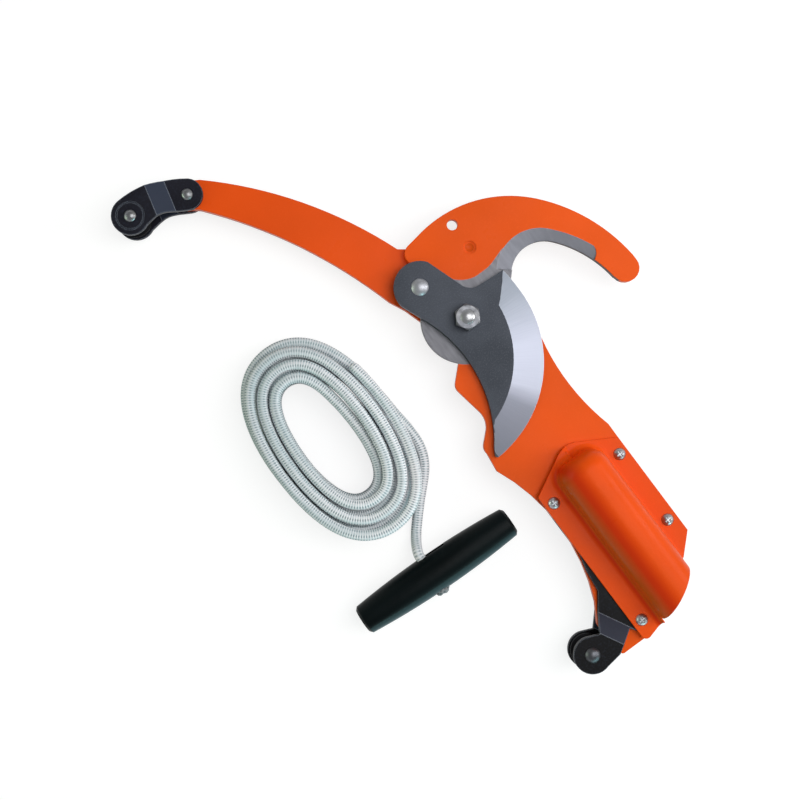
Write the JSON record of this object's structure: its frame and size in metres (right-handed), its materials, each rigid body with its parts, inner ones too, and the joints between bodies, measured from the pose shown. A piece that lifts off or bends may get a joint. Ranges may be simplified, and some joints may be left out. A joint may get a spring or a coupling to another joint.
{
  "type": "tree pruner pole head",
  "caption": "Bypass pole pruner head: hooked plate with pole socket, curved blade on a sprung lever arm, rope pulleys, coiled pull rope and T handle.",
  "frame": {"origin": "on the pole's axis at the socket's mouth", "axes": "+Y along the pole up to the hook, +Z to the front of the plate, -Y out of the socket's mouth"},
  "size_m": [0.243, 0.3689, 0.0452],
  "materials": {
    "orange_paint": "smooth orange powder coat, ground bare at the hook's edge and round the pivot",
    "blade_steel": "dark grey coated steel with a bright ground bevel",
    "dark_paint": "dark satin paint",
    "zinc_plate": "zinc plate",
    "dark_zinc": "dark zinc plate",
    "spring_steel": "oiled spring wire",
    "pulley_plastic": "black moulded",
    "rope_braid": "white and grey flecked braid",
    "handle_plastic": "satin black moulded"
  },
  "bodies": {
    "head": {"main_plate": "orange_paint", "socket_cover": "orange_paint", "cover_screws": "zinc_plate", "cover_nuts": "zinc_plate", "lower_bracket_front": "dark_paint", "lower_bracket_rear": "dark_paint", "lower_pulley_axle": "dark_zinc", "spring_post": "zinc_plate", "return_spring": "spring_steel"},
    "lever": {"blade": "blade_steel", "lever_arm": "orange_paint", "pivot_bolt": "zinc_plate", "pivot_nut": "zinc_plate", "spring_bush": "zinc_plate", "blade_rivet": "zinc_plate", "rivet_spacer": "zinc_plate", "arm_bracket_front": "dark_paint", "arm_bracket_rear": "dark_paint", "arm_bracket_rivet": "zinc_plate", "arm_pulley_axle": "zinc_plate"},
    "arm_wheel": {"arm_pulley": "pulley_plastic"},
    "lower_wheel": {"lower_pulley": "pulley_plastic"},
    "rope_set": {"rope_coil": "rope_braid", "rope_tail": "rope_braid", "rope_knot": "rope_braid", "pull_handle": "handle_plastic"}
  },
  "joints": [
    {"name": "lever_swing", "type": "hinge", "parent": "head", "child": "lever", "pos_m": [0, 0.185, 0], "axis": [0, 0, 1], "range_deg": [0, 100], "stiffness_Nm_per_rad": 0.8, "springref_deg": -34.38},
    {"name": "arm_pulley_spin", "type": "hinge", "parent": "lever", "child": "arm_wheel", "pos_m": [-0.1146, 0.3419, -0.0192], "axis": [0, 0, 1], "continuous": true},
    {"name": "lower_pulley_spin", "type": "hinge", "parent": "head", "child": "lower_wheel", "pos_m": [-0.056, -0.0046, -0.0146], "axis": [0, 0, 1], "continuous": true},
    {"name": "rope_pull", "type": "slide", "parent": "head", "child": "rope_set", "axis": [-0.7071, -0.7071, 0], "range_m": [0, 0.26]}
  ],
  "couplings": [
    {"joint": "rope_pull", "follows": "lever_swing", "m_per_rad": 0.148}
  ]
}
